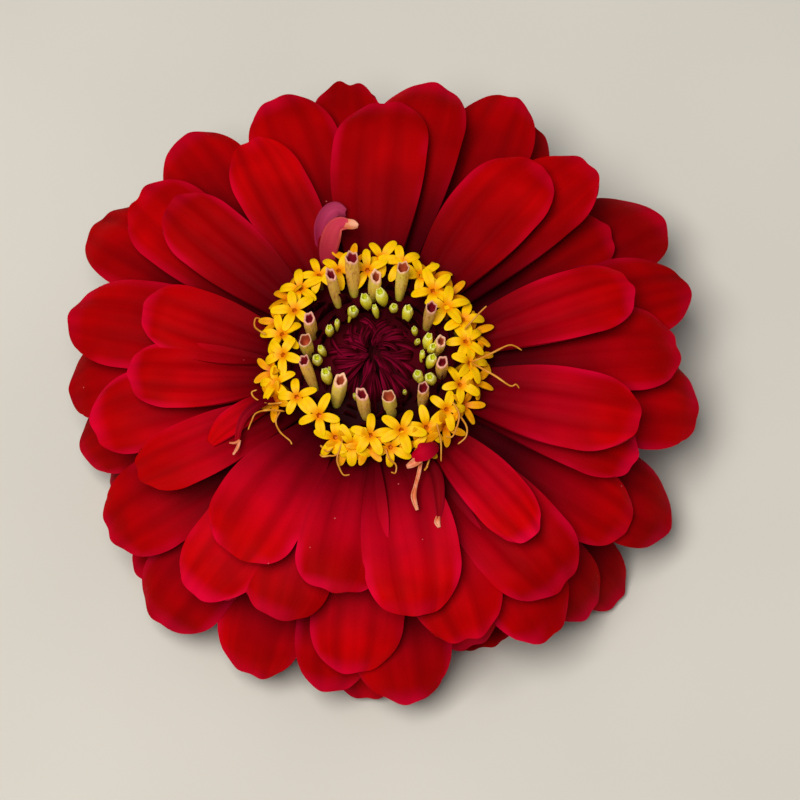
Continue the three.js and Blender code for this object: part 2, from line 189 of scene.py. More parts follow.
def coated(tree, ground, colour, most, *ramps):
    """A ground colour under a coat of another colour, which is as thick as most, from 0 to 1, where all the
    ramps are up. A ramp is a value and the two ends between which it goes smoothly from down to up."""
    share = most
    for value, start, end in ramps:
        inputs = [value, start, end, 0, share]
        share = add(tree, "ShaderNodeMapRange", inputs, interpolation_type="SMOOTHSTEP")[0]
    return add(tree, "ShaderNodeMix", {0: share, 6: ground, 7: linear(colour)}, data_type="RGBA")[2]


def either(tree, *ramps):
    """The thickness of a coat that lies where one ramp or the other is up."""
    up = [add(tree, "ShaderNodeMapRange", ramp, interpolation_type="SMOOTHSTEP")[0] for ramp in ramps]
    return add(tree, "ShaderNodeMath", up, operation="MAXIMUM")[0]


def sum_of(tree, start, *terms):
    """A start plus the terms, each of them a value times a rate."""
    for value, rate in terms:
        start = add(tree, "ShaderNodeMath", [value, rate, start], operation="MULTIPLY_ADD")[0]
    return start


def across_and_along(tree):
    """How far across a blade, 0 on the midrib and 1 at the edges, and how far along it, 0 to 1."""
    place = add(tree, "ShaderNodeSeparateXYZ", [add(tree, "ShaderNodeUVMap", uv_map="UVMap")[0]])
    sideways = sum_of(tree, -1, (place[0], 2))
    return add(tree, "ShaderNodeMath", [sideways], operation="ABSOLUTE")[0], place[1]


def streaks(tree, per_width, per_length):
    """Noise drawn out along a blade: so many streaks in its width, and changes in its length. Each blade's
    number, habit, gives it a part of the noise for itself."""
    uv = add(tree, "ShaderNodeUVMap", uv_map="UVMap")[0]
    habit = add(tree, "ShaderNodeAttribute", attribute_name="habit")["Fac"]
    own = add(tree, "ShaderNodeCombineXYZ", {"Z": habit})[0]
    place = add(tree, "ShaderNodeVectorMath", [uv, own], operation="ADD")[0]
    scale = (per_width, per_length, BLADES_APART)
    drawn = add(tree, "ShaderNodeMapping", {"Vector": place, "Scale": scale})[0]
    return add(tree, "ShaderNodeTexNoise", {"Vector": drawn, "Scale": 1.0, "Detail": 3.0})[0]


def grain(tree, size):
    """Noise with patches of a size in mm."""
    place = add(tree, "ShaderNodeTexCoord")["Object"]
    return add(tree, "ShaderNodeTexNoise", {"Vector": place, "Scale": 1 / (size * MM), "Detail": 2.0})[0]


def fibres(tree, count, changes, detail):
    """Noise drawn out along the flower's axis: so many fibres in 10 mm across, and changes in 10 mm along."""
    place = add(tree, "ShaderNodeTexCoord")["Object"]
    scale = (count / (10 * MM), count / (10 * MM), changes / (10 * MM))
    drawn = add(tree, "ShaderNodeMapping", {"Vector": place, "Scale": scale})[0]
    return add(tree, "ShaderNodeTexNoise", {"Vector": drawn, "Scale": 1.0, "Detail": detail})[0]


def petal_velvet(name, claw, limb, shade, rim, pile):
    """A ray's upper face: a velvet of tiny cells over red sap, which gives a deep matt colour, with painted
    shade in its two furrows, a claw of darker red whose dark is painted shade further out, and a crimson
    bloom at its tip and along parts of its edge that is a painted sheen. The attribute habit is the number of
    the ray's row, 0 for the uppermost, then a first decimal for how dark the ray is, partly at random and
    partly painted shade, and the rest for how crimson, partly at random and partly a painted reflection of
    the sky, which also flushes the inner part of the ray. On the lower rows, which the upper ones have
    shaded, the painted shade of the claw reaches further out and the painted sheen is fainter. Clumps of
    pollen lie on it. The cells are too fine to show, so they are drawn 0.3 mm wide."""
    material, tree = new_material(
        name, Roughness=0.6, Specular_IOR_Level=0.02, Sheen_Weight=pile, Sheen_Roughness=0.35,
        Sheen_Tint=linear("ff2048"),
    )
    across, along = across_and_along(tree)
    habit = add(tree, "ShaderNodeAttribute", attribute_name="habit")["Fac"]
    row = add(tree, "ShaderNodeMath", [habit], operation="FLOOR")[0]
    dark = add(tree, "ShaderNodeMath", [habit], operation="FRACT")[0]
    crimson = add(tree, "ShaderNodeMath", [sum_of(tree, 0, (habit, 10))], operation="FRACT")[0]

    face = coated(tree, linear(limb), shade, 0.5, (grain(tree, 7.0), 0.25, 0.75))
    # Painted shade: each ray darker by its own share, at random and more on the far side and the lower rows.
    face = coated(tree, face, shade, sum_of(tree, 0, (dark, 0.75)))
    # A crimson flush on the inner part, partly the ray's own tint and partly a painted reflection of the sky.
    face = coated(tree, face, rim, 0.3, (crimson, 0.2, 1.0), (along, 0.9, 0.5))
    face = coated(tree, face, shade, 0.26, (streaks(tree, 8, 1.0), 0.35, 0.75))
    # Painted shade in the two furrows.
    face = coated(tree, face, shade, 0.3, (across, 0.12, 0.36), (across, 0.62, 0.4))

    # The claw's own darker red, carried further out as painted shade on the lower rows.
    claw_ends = sum_of(tree, 0.84, (row, 0.085), (crimson, -0.16))
    all_claw = sum_of(tree, 0.06, (row, 0.13))
    face = coated(tree, face, claw, 1, (along, claw_ends, all_claw))

    # Painted sheen: a crimson bloom along the edges and at the tip, stronger on crimson rays, fainter lower
    # down.
    edge = either(tree, (across, 0.76, 1.0), (along, 0.9, 1.0))
    bloom = sum_of(tree, 0.34, (row, -0.08), (crimson, 0.45))
    bloom = add(tree, "ShaderNodeMath", [edge, bloom], operation="MULTIPLY")[0]
    face = coated(tree, face, rim, bloom, (along, 0.3, 0.8), (grain(tree, 9.0), 0.35, 0.65))

    place = add(tree, "ShaderNodeTexCoord")["Object"]
    scatter = {"Vector": place, "Scale": 1 / (POLLEN_APART * MM)}
    away = add(tree, "ShaderNodeTexVoronoi", scatter)["Distance"]
    face = coated(tree, face, "c86464", 1, (away, 0.026, 0.015))

    cells = add(tree, "ShaderNodeMath", [streaks(tree, 30, 2.0), grain(tree, 0.3)], operation="ADD")[0]
    return dressed(material, face, cells, 0.12, 0.25)


def petal_back(name, claw, limb, vein):
    """A ray's underside: a dusky crimson skin with a slight shine and fine veins, greenish at the claw."""
    material, tree = new_material(name, Roughness=0.6, Specular_IOR_Level=0.3)
    _, along = across_and_along(tree)
    veins = streaks(tree, 22, 1.0)
    face = coated(tree, linear(claw), limb, 1, (along, 0.0, 0.35))
    face = coated(tree, face, vein, 0.4, (veins, 0.4, 0.65))
    return dressed(material, face, veins, 0.15, 0.4)


def floret_gold(name, throat, lobe, tip):
    """An open floret's lobes: waxy, papillate yellow, orange in the throat, partly its own colour and partly
    painted shade, and deeper along the middle furrow as painted shade.
    """
    material, tree = new_material(name, Roughness=0.5, Specular_IOR_Level=0.12)
    across, along = across_and_along(tree)
    # Orange towards the throat: its own colour, deepened as painted shade.
    face = coated(tree, linear(throat), lobe, 1, (along, 0.0, 0.4))
    face = coated(tree, face, tip, 1, (along, 0.7, 1.0))
    # Painted shade along the middle furrow.
    face = coated(tree, face, throat, 0.25, (across, 0.3, 0.0))
    face = coated(tree, face, throat, 0.2, (grain(tree, 0.5), 0.4, 0.75))
    return dressed(material, face, grain(tree, 0.25), 0.06, 0.4)


def tube_skin(name, foot, middle, lip, rust, inside):
    """A floret tube in bud: thin waxy skin, greener at the foot, with rusty veins that run up it to a pale
    lip, and another colour inside the mouth. The attribute along runs up the outside and into the mouth."""
    material, tree = new_material(name, Roughness=0.5, Specular_IOR_Level=0.2)
    along = add(tree, "ShaderNodeAttribute", attribute_name="along")["Fac"]
    veins = fibres(tree, 32, 7, 3.0)
    face = coated(tree, linear(foot), middle, 1, (along, 0.0, 0.22))
    face = coated(tree, face, rust, 0.6, (veins, 0.48, 0.72))
    face = coated(tree, face, lip, 0.4, (grain(tree, 1.1), 0.5, 0.7), (along, 0.1, 0.4))
    face = coated(tree, face, lip, 1, (along, 0.44, 0.56))
    face = coated(tree, face, inside, 1, (along, 0.64, 0.72))
    return dressed(material, face, veins, 0.08, 0.5)


def chaff_skin(name, body, edge):
    """A pale of the chaff: stiff, papery and nearly black, with redder fibres, and redder margins that are
    partly their own colour and partly a painted highlight along the edges.
    """
    material, tree = new_material(name, Roughness=0.6, Specular_IOR_Level=0.03)
    across, along = across_and_along(tree)
    threads = streaks(tree, 9, 1.0)
    # Redder fibres, and margins whose red is partly a painted highlight.
    redder = either(tree, (across, 0.35, 1.0), (threads, 0.42, 0.68))
    return dressed(material, coated(tree, linear(body), edge, redder, (along, 0.05, 0.5)), threads, 0.1, 0.5)


def bract_skin(name, body, pale, margin):
    """A bract of the involucre: leathery green, ribbed lengthwise, with a thin dark margin."""
    material, tree = new_material(name, Roughness=0.55, Specular_IOR_Level=0.35)
    across, along = across_and_along(tree)
    ribs = streaks(tree, 12, 0.8)
    face = coated(tree, linear(body), pale, 1, (ribs, 0.35, 0.7))
    edge = either(tree, (across, 0.86, 0.97), (along, 0.9, 0.97))
    return dressed(material, coated(tree, face, margin, edge, (along, 0.45, 0.7)), ribs, 0.15, 0.5)


def stem_skin(name, body, pale):
    """The stalk: soft green skin with pale ribs."""
    material, tree = new_material(name, Roughness=0.55, Specular_IOR_Level=0.35)
    ribs = fibres(tree, 16, 1.5, 2.0)
    return dressed(material, coated(tree, linear(body), pale, 1, (ribs, 0.35, 0.7)), ribs, 0.2, 0.5)


def thread_skin(name, body, pale):
    """A style or a withered tip: a thin, slightly glossy skin, paler in patches."""
    material, tree = new_material(name, Roughness=0.45, Specular_IOR_Level=0.3)
    return dressed(material, coated(tree, linear(body), pale, 1, (grain(tree, 1.2), 0.35, 0.7)))


def floor_plaster(name, body, pale):
    """A smooth matt table top, with broad patches so faint that they only break its flatness."""
    material, tree = new_material(name, Roughness=0.8, Specular_IOR_Level=0.2)
    return dressed(material, coated(tree, linear(body), pale, 1, (grain(tree, 60), 0.3, 0.7)))


# The shade colour serves random patches and veins and also painted shade; the rim colour is the painted
# sheen.
VELVET = petal_velvet("petal velvet", "400008", "ea0006", "760001", "ec0440", 0.03)
BACK = petal_back("petal underside", "8a8a4a", "8c1c34", "8c1830")
GOLD = floret_gold("floret gold", "f09400", "ffca00", "ffd600")
SPENT_GOLD = floret_gold("spent floret, orange", "d66c00", "f6a600", "f8b810")
TAN_TUBE = tube_skin("bud tube, tanned", "dcd43c", "f8c458", "fcb8a0", "b46028", "841220")
CREAM_TUBE = tube_skin("bud tube, cream", "ece440", "ffe058", "ffc8a0", "d49c38", "b04c2c")
# The lime buds' near-white lip is partly their own pale tip and partly a painted highlight.
LIME_TUBE = tube_skin("bud tube, lime", "fcec28", "fff43c", "fffca0", "ecd828", "c8cc1c")
GOLD_TUBE = tube_skin("floret tube, gold", "b0a830", "f0a800", "f0a000", "d88a00", "e08000")
MAROON = chaff_skin("chaff, maroon", "340208", "900a34")
BLACK_CHAFF = chaff_skin("chaff, dark", "240206", "4c0412")
BRACT = bract_skin("bract, dark-edged", "54722c", "7d9648", "2e1c12")
STEM = stem_skin("stalk skin", "6f8f3e", "a3b86a")
YOUNG = petal_velvet("young ray velvet", "b82840", "e04860", "c43450", "ec7c54", 0.1)
# Its rim colour is a dark purple: painted shade at the tip and edges of the fold.
FOLDED = petal_velvet("folded young ray", "a01c44", "e8648c", "a82c54", "7a1434", 0.1)
CRIMSON = petal_velvet("curled young ray, crimson", "90001c", "e0002c", "b00020", "e83c68", 0.1)
DARK_CRIMSON = petal_velvet("withered young ray, dark", "58000c", "b80a1c", "80040f", "b01030", 0.03)
THREAD = thread_skin("style, amber", "d48418", "eca83c")
SALMON = thread_skin("withered tip, salmon", "e07a4c", "f0a884")
PLASTER = floor_plaster("pale table top", "d9d6cf", "dedbd4")


def spot(radius, azimuth, height):
    """A point about the flower's axis, from mm and degrees, in metres."""
    turn = math.radians(azimuth)
    return Vector((radius * math.cos(turn), radius * math.sin(turn), height)) * MM


def smooth(value):
    """A rise from 0 to 1 that starts and ends level."""
    value = min(max(value, 0), 1)
    return value * value * (3 - 2 * value)


def blade(columns, steps, point, material, habit=0.0):
    """A grid of quads with every point placed by point(across, along), across from -1 to 1 and along
    from 0 to 1, and its own number, habit, for the patterns on it."""
    bpy.ops.object.select_all(action="DESELECT")
    bpy.ops.mesh.primitive_grid_add(x_subdivisions=columns, y_subdivisions=steps, size=2)
    piece = bpy.context.active_object
    for vertex in piece.data.vertices:
        vertex.co = point(vertex.co.x, (vertex.co.y + 1) / 2)
    number = piece.data.attributes.new("habit", "FLOAT", "POINT")
    number.data.foreach_set("value", [habit] * len(piece.data.vertices))
    piece.data.materials.append(material)
    return piece


def thicken(piece, thickness, back=None):
    """Gives a blade its thickness in mm, with a material of its own on the back."""
    if back:
        piece.data.materials.append(back)
    wall = piece.modifiers.new("wall", "SOLIDIFY")
    wall.thickness = thickness * MM
    wall.offset = 0
    wall.material_offset = 1 if back else 0
    bpy.context.view_layer.objects.active = piece
    bpy.ops.object.modifier_apply(modifier=wall.name)
    return piece


def turned(outline, segments, material):
    """A round piece about the axis, extruded ring by ring along its outline of (radius, height) in mm.
    The attribute along says how far along the outline a point is."""
    bpy.ops.object.select_all(action="DESELECT")
    (radius, height), *rest = outline
    bpy.ops.mesh.primitive_circle_add(
        vertices=segments, radius=radius * MM, fill_type="NGON", location=(0, 0, height * MM)
    )
    piece = bpy.context.active_object
    bpy.ops.object.mode_set(mode="EDIT")
    for wide, high in rest:
        bpy.ops.mesh.extrude_region_move(TRANSFORM_OT_translate={"value": (0, 0, (high - height) * MM)})
        share = wide / radius
        bpy.ops.transform.resize(value=(share, share, 1), center_override=(0, 0, high * MM))
        radius, height = wide, high
    bpy.ops.object.mode_set(mode="OBJECT")
    bpy.ops.object.transform_apply(location=True, rotation=True, scale=True)
    along = piece.data.attributes.new("along", "FLOAT", "POINT")
    for vertex, value in zip(piece.data.vertices, along.data):
        seen = (math.hypot(vertex.co.x, vertex.co.y) / MM, vertex.co.z / MM)
        nearest = min(range(len(outline)), key=lambda k: math.dist(outline[k], seen))
        value.value = nearest / (len(outline) - 1)
    piece.data.materials.append(material)
    return piece


def through(points):
    """The smooth path through points, or through numbers, as a function from 0 to 1."""

    def at(along):
        place = min(max(along, 0), 1) * (len(points) - 1)
        first = min(int(place), len(points) - 2)
        part = place - first
        near = (first + step for step in (-1, 0, 1, 2))
        before, start, end, after = (points[min(max(number, 0), len(points) - 1)] for number in near)
        bend = before * 2 - start * 5 + end * 4 - after
        twist = start * 3 - end * 3 + after - before
        return start + (end - before) * (part / 2) + bend * (part ** 2 / 2) + twist * (part ** 3 / 2)

    return at


def frame_at(path, along):
    """Where a path is, and the sideways and upward directions there. Where it is nearly upright, the way out
    from the axis takes the place of up."""
    heading = (path(along + 0.02) - path(along - 0.02)).normalized()
    side = heading.cross(Vector((0, 0, 1)))
    if side.length < 0.2:
        side = heading.cross(path(along) * Vector((1, 1, 0)))
    side.normalize()
    return path(along), side, side.cross(heading)


def thread(places, radius, material, chance):
    """A round thread along places, each an azimuth, a radius and a height, narrowing to its end. It is a
    grid that is rolled up, with its long edges merged."""
    path = through([spot(far, azimuth, high) for azimuth, far, high in places])

    def point(across, along):
        centre, side, upward = frame_at(path, along)
        angle = -math.pi * across
        ends = min(1, 0.05 + 14 * min(along, 1 - along))
        thick = radius * (1 - 0.35 * along) * ends * MM
        return centre + (side * math.cos(angle) + upward * math.sin(angle)) * thick

    piece = blade(6, 6 * len(places), point, material, chance.uniform(0, 9))
    bpy.ops.object.mode_set(mode="EDIT")
    bpy.ops.mesh.select_all(action="SELECT")
    bpy.ops.mesh.remove_doubles(threshold=0.004 * MM)
    bpy.ops.object.mode_set(mode="OBJECT")
    return piece


def strip(places, widths, cup, material, chance):
    """A thin leaf along places, with its widths in mm, its edges raised by a share of the width. It is
    0.25 mm thick, or a quarter of its greatest width where that is less."""
    path = through([spot(far, azimuth, high) for azimuth, far, high in places])
    width = through(widths)

    def point(across, along):
        centre, side, upward = frame_at(path, along)
        wide = width(along) * MM
        return centre + side * (across * wide / 2) + upward * (cup * across ** 2 * wide)

    leaf = blade(8, 5 * len(places), point, material, chance.random())
    return thicken(leaf, min(0.25, 0.25 * max(widths)), None if material is SALMON else BACK)


def copied(piece, place):
    """A copy with a mesh of its own, moved by the matrix place."""
    twin = piece.copy()
    twin.data = piece.data.copy()
    twin.data.transform(place)
    bpy.context.collection.objects.link(twin)
    return twin


def merged(pieces):
    """One piece from several, each with the place that it has."""
    bpy.ops.object.select_all(action="DESELECT")
    for piece in pieces:
        piece.select_set(True)
    bpy.context.view_layer.objects.active = pieces[0]
    if len(pieces) > 1:
        bpy.ops.object.join()
    return bpy.context.active_object


def joined(name, pieces, angle=50):
    """One finished piece from several, at the flower's place, riding on the bloom. Its faces are smooth
    where they meet at less than the angle."""
    whole = merged(pieces)
    whole.name = name
    whole.data.name = name
    bpy.ops.object.shade_smooth_by_angle(angle=math.radians(angle))
    whole.data.transform(Matrix.Translation(AXIS))
    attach(whole, "root")
    return whole


def leaf_outline(across, along, limb, claw):
    """Where a blade's point lies: its side, as a share of the half width, and its way along. The blade
    widens from its claw until limb, and ends in half a disc."""
    if along < limb:
        grown = math.sin(math.pi / 2 * min(max(along, 0) / limb * 1.12, 1)) ** 1.2
        return across * (claw + (1 - claw) * grown), along
    part = (along - limb) / (1 - limb)
    return across * math.sqrt(1 - part ** 2 / 2), limb + (1 - limb) * part * math.sqrt(1 - across ** 2 / 2)


def track_of(climb, fall):
    """A midrib of length 1, as (out, up) steps: its slope turns from climb to fall degrees."""
    track = [(0, 0)]
    for step in range(MIDRIB_STEPS):
        slope = math.radians(climb + (fall - climb) * ((step + 0.5) / MIDRIB_STEPS) ** CURL)
        out, up = track[-1]
        track.append((out + math.cos(slope) / MIDRIB_STEPS, up + math.sin(slope) / MIDRIB_STEPS))
    return track


def midrib(root, climb, reach, tip):
    """The midrib that leaves the collar at climb degrees and ends at a reach and a height, as a function
    of how far along it is, and its length. Halving finds the fall that does it."""
    span = reach - COLLAR_RADIUS
    steep, shallow = -130, 110
    while shallow - steep > 0.1:
        middle = (steep + shallow) / 2
        out, up = track_of(climb, middle)[-1]
        if up * span < (tip - root) * out:
            steep = middle
        else:
            shallow = middle
    track = track_of(climb, steep)
    length = span / track[-1][0]

    def rib(along):
        step = min(int(max(along, 0) * MIDRIB_STEPS), MIDRIB_STEPS - 1)
        part = along * MIDRIB_STEPS - step
        out, up = (a + (b - a) * part for a, b in zip(track[step], track[step + 1]))
        slope = math.radians(climb + (steep - climb) * max(along, 0) ** CURL)
        return COLLAR_RADIUS + out * length, root + up * length, slope

    return rib, length


def ray_habit(row, azimuth, number):
    """The number that petal_velvet reads, from a number drawn from 0 to 1: the row, a decimal for how dark
    the ray is, at random and, as painted shade, more on the far side and the lower rows, and the rest for
    how crimson, at random and, as a painted reflection of the sky, more on the near side."""
    far = 0.5 + 0.5 * math.sin(math.radians(azimuth))
    # Painted shade: darker on the far side and on the lower rows.
    dark = min(0.22 + 0.32 * far + 0.04 * row + 0.38 * number, 0.99)
    # Painted reflection of the sky: more crimson on the near side.
    crimson = 0.7 * (1 - far) + 0.29 * (10 * number % 1)
    return row + (int(10 * dark) + crimson) / 10


def ray(row, place, chance):
    """One ray floret, with a habit of its own: how it twists, sways, furrows, waves and ends."""
    root, climb, row_tip, _ = row
    azimuth, reach, width, above = place
    width *= RAY_FULLNESS
    rib, length = midrib(root, climb, reach, row_tip + above)
    roll = chance.uniform(-4, 10)  # degrees that it is twisted by at its tip
    sway = chance.uniform(-3, 3)  # degrees that its claw stands aside of its tip
    furrow = chance.uniform(0.018, 0.045)  # a depth in widths, as those of the wave, droop and crinkle are
    wave, phase = chance.uniform(0.012, 0.03), chance.uniform(0, 6.3)
    notch, dent = chance.uniform(0.0, 0.014), chance.uniform(-0.4, 0.4)  # depth and place of the tip's notch
    droop = chance.uniform(0.02, 0.14)
    crinkle = chance.uniform(0.004, 0.014)
    limb = chance.uniform(0.71, 0.78)  # how far along it is broadest, where its round end starts
    sunk = ROOT_DEPTH / length

    def point(across, share):
        side, along = leaf_outline(across, share, limb, CLAW_SHARE)
        end = smooth((share - limb) / (1 - limb))
        along -= end * notch * math.exp(-((across - dent) / 0.25) ** 2)
        along -= end * 0.005 * (1 + math.cos(7 * across + phase))
        along = along * (1.012 + sunk) - sunk
        grown = max(along, 0)
        radius, height, slope = rib(along)
        edge = abs(across)

        # How far the limb is proud of its midrib, in widths: channelled at the claw, rolled down at the
        # tip, furrowed, waved, drooping at its end and crinkled.
        bow = CHANNEL * (1 - grown) * edge ** 2 - ROLL_DOWN * grown ** 2 * abs(side) ** 2.4
        grooves = math.exp(-((edge - GROOVE_AT) / GROOVE_WIDE) ** 2) + 0.4 * math.exp(-(across / 0.08) ** 2)
        bow -= furrow * grooves * math.sin(math.pi * min(grown * 1.06, 1)) ** 0.7
        bow += wave * grown * math.sin(5.5 * grown + 2.2 * across + phase)
        bow -= droop * smooth((grown - 0.8) / 0.2) ** 1.5
        bow += crinkle * smooth((grown - 0.7) / 0.3) * math.sin(9 * across + 2 * phase)

        turn = math.radians(roll) * grown
        aside = side * width / 2
        proud = bow * width + aside * math.sin(turn)
        facing = azimuth + sway * (grown ** 2 - 1)
        up = height + math.cos(slope) * proud

        # A tip that would go through the table slides out along it instead.
        under = FOOT_BEND * math.log1p(math.exp(min((RAY_THICKNESS / 2 - up) / FOOT_BEND, 30)))
        out = radius - math.sin(slope) * proud + LAID_OUT * under
        return spot(out, facing, up + under) - spot(aside * math.cos(turn), facing + 90, 0)

    habit = ray_habit(RAY_ROWS.index(row), azimuth, chance.random())
    return thicken(blade(RAY_COLUMNS, RAY_STEPS, point, VELVET, habit), RAY_THICKNESS, BACK)


def ray_rows():
    """Each row as one piece, the uppermost first, with its own seed."""
    for number, row in enumerate(RAY_ROWS, 1):
        chance = random.Random(10 + number)
        rays = [ray(row, place, chance) for place in row[3]]
        piece = joined(f"ray_row_{number}", rays)
        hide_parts("ray_florets")


def star(chance, material, opened):
    """One open floret: five pointed lobes that arch out and back from a throat, on a narrow tube.
    Modelled upright on the axis, with its throat at the origin. A spent one is less than fully opened."""
    lobes = []
    for number in range(5):
        azimuth = 72 * number + chance.uniform(-7, 7)
        length = 2.6 + chance.uniform(-0.25, 0.25)
        start = 62 - 24 * opened + chance.uniform(-8, 8)
        fall = 20 - 62 * opened + chance.uniform(-18, 14)
        width = (1.16 + chance.uniform(-0.08, 0.1)) * (0.75 + 0.25 * opened)
        twist = math.radians(chance.uniform(-14, 14))

        def point(across, share):
            side, along = leaf_outline(across, share, 0.46, 0.55)
            out, up = 0.35, 0.0
            for step in range(8):
                slope = math.radians(start + (fall - start) * along * (step + 0.5) / 8)
                out += math.cos(slope) * along * length / 8
                up += math.sin(slope) * along * length / 8
            edge = abs(side)
            up += width * (0.14 * edge ** 1.5 * (1 - along) - 0.16 * edge ** 3 * along)
            up += side * width / 2 * math.sin(twist)
            return spot(out, azimuth, up) - spot(side * width / 2 * math.cos(twist), azimuth + 90, 0)

        lobes.append(thicken(blade(8, 10, point, material, chance.uniform(0, 9)), 0.2))
    tube = [(0.34, -3.9), (0.4, -2.4), (0.44, -0.8), (0.46, 0.1), (0.36, 0.08), (0.2, -0.7)]
    return merged([*lobes, turned(tube, 12, GOLD_TUBE)])


def ring_of_stars(name, habits, places, top, lean, chance):
    """Stars at their places, the outer ones lower and more tilted outwards, in turn from the habits."""
    stars = []
    for number, (azimuth, radius) in enumerate(places):
        outward = radius - STAR_RADIUS
        far_side = max(math.sin(math.radians(azimuth)), 0)
        tilt = lean - TURNED_TO_LIGHT * far_side + 9 * outward + chance.uniform(-9, 9)
        height = top - 0.5 * outward + chance.uniform(-0.3, 0.3)
        place = (
            Matrix.Translation(spot(radius - 0.2, azimuth, height))
            @ Matrix.Rotation(math.radians(azimuth + chance.uniform(-14, 14)), 4, "Z")
            @ Matrix.Rotation(math.radians(tilt), 4, "Y")
            @ Matrix.Rotation(chance.uniform(0, math.tau), 4, "Z")
            @ Matrix.Scale(chance.uniform(0.92, 1.06), 4)
        )
        stars.append(copied(habits[number % len(habits)], place))
    for habit in habits:
        bpy.data.objects.remove(habit)
    piece = joined(name, stars, 60)
    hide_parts("open_disc_florets")


def open_florets():
    """The ring of stars, and the spent ones, half closed, that hang out from under it."""
    chance = random.Random(21)
    habits = [star(chance, GOLD, 1) for _ in range(5)]
    ring_of_stars("open_florets", habits, STARS, STAR_TOP - 0.6, 20, chance)
    habits = [star(chance, SPENT_GOLD, 0.35) for _ in range(3)]
    ring_of_stars("spent_florets", habits, SPENT_STARS, STAR_TOP - 1.6, 38, chance)


def bud(outline, material, slant, ribbing):
    """A floret in bud on the axis, its foot at the origin: five soft ribs that end in as many blunt teeth,
    and a mouth cut at a slant with its lower lip on the side of -X."""
    piece = turned(outline, 20, material)
    top = max(high for _, high in outline)
    for vertex in piece.data.vertices:
        share = vertex.co.z / MM / top
        ribs = math.cos(5 * math.atan2(vertex.co.y, vertex.co.x))
        vertex.co.z += smooth(share * 2 - 1) * slant * vertex.co.x + smooth(share * 8 - 7) * ribs * 0.16 * MM
        vertex.co.x *= 1 + ribbing * smooth(share * 2) * ribs
        vertex.co.y *= 1 + ribbing * smooth(share * 2) * ribs
    return piece


def stood(foot, mouth, length, outward):
    """The matrix that stands a piece of a length on foot, with its top at mouth and its +X to an azimuth."""
    upward = mouth - foot
    z = upward.normalized()
    y = z.cross(spot(1000, outward, 0)).normalized()
    turn = Matrix((y.cross(z), y, z)).transposed().to_4x4()
    return Matrix.Translation(foot) @ turn @ Matrix.Diagonal((1, 1, upward.length / (length * MM), 1))


def bud_florets():
    """The large buds and the small ones, which lean inwards or out as each one's foot and mouth say."""
    chance = random.Random(5)
    tall = LARGE_BUD
    patterns = []
    for number, (mouth, slant, flare) in enumerate(BUD_MOUTHS):
        lip = 0.84 + flare
        outline = [
            (0.44, 0), (0.6, 0.7), (0.74, 1.8), (0.83, 3.0), (0.88, 4.2), (0.86, 5.1),
            (0.5 * (lip + 0.84), 5.7), (lip - 0.03, tall), (lip - 0.1, tall + 0.06),
            (mouth + 0.02, tall - 0.1), (mouth - 0.06, tall - 0.5), (mouth - 0.16, tall - 1.0),
            (0.25, tall - 1.4), (0.05, tall - 1.5),
        ]
        patterns.append(bud(outline, CREAM_TUBE if number > 1 else TAN_TUBE, slant, 0.06))
    buds = []
    for azimuth, radius, mouth_azimuth, mouth_radius, top, kind in LARGE_BUDS:
        foot = spot(radius, azimuth, DISC_FLOOR + 0.4)
        mouth = spot(mouth_radius, mouth_azimuth, top + chance.uniform(-0.3, 0.3))
        place = stood(foot, mouth, tall, 90 + chance.uniform(-50, 50))
        girth = chance.uniform(0.84, 1.06)
        flattened = Matrix.Diagonal((girth, girth * chance.uniform(0.85, 1), 1, 1))
        buds.append(copied(patterns[kind], place @ flattened))
    for pattern in patterns:
        bpy.data.objects.remove(pattern)
    piece = joined("bud_florets_large", buds, 60)
    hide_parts("bud_florets")

    short = SMALL_BUD
    outline = [
        (0.36, 0), (0.5, 0.5), (0.64, 1.2), (0.7, 1.9), (0.66, 2.5), (0.54, 2.9), (0.46, short),
        (0.34, short + 0.05), (0.22, short - 0.05), (0.16, short - 0.3), (0.04, short - 0.4),
    ]
    pattern = bud(outline, LIME_TUBE, 0.3, 0.05)
    buds = []
    for azimuth, radius, size in SMALL_BUDS:
        high = short * (0.45 + 0.55 * size)
        foot = spot(radius, azimuth, DISC_FLOOR + 2.3)
        mouth = foot + Vector([chance.uniform(-0.5, 0.5) * MM for _ in "xy"] + [high * MM])
        place = stood(foot, mouth, short, 90 + chance.uniform(-60, 60))
        buds.append(copied(pattern, place @ Matrix.Diagonal((size, size, 1, 1))))
    bpy.data.objects.remove(pattern)
    piece = joined("bud_florets_small", buds, 60)
    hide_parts("bud_florets")


def pale(azimuth, base, tip, low, high, width, swirl, fold, material, chance):
    """One pale of the chaff: a folded, pointed blade from base to tip radius, that swirls as it rises."""

    def point(across, along):
        radius = base + (tip - base) * along ** 1.2
        height = low + (high - low) * math.sin(math.pi / 2 * along) + 0.25 * math.sin(math.pi * along)
        half = width / 2 * (0.06 + 0.94 * (1 - along ** 1.8) ** 0.8)
        facing = azimuth + swirl * along ** 1.5
        crease = fold * width * (0.5 - abs(across)) * (1 - 0.5 * along)
        return spot(radius, facing, height + crease) - spot(across * half, facing + 90, 0)

    return thicken(blade(6, 10, point, material, chance.uniform(0, 9)), 0.12)


def whorls_of_pales(whorls, swirls, folds, material, chance):
    """Whorls of pales, each with its count, base and tip radius, low and high end, and width, and turned
    against the others by 7 degrees for each mm between their bases."""
    pales = []
    for count, base, tip, low, high, width in whorls:
        for number in range(count):
            azimuth = 360 / count * (number + chance.uniform(-0.35, 0.35)) + 7 * base
            pales.append(pale(
                azimuth, base + chance.uniform(-0.3, 0.3), tip + chance.uniform(-0.4, 0.5), DISC_FLOOR + low,
                DISC_FLOOR + high + chance.uniform(-0.6, 0.5), width * chance.uniform(0.75, 1.15),
                chance.uniform(*swirls), chance.uniform(*folds), material, chance,
            ))
    return pales


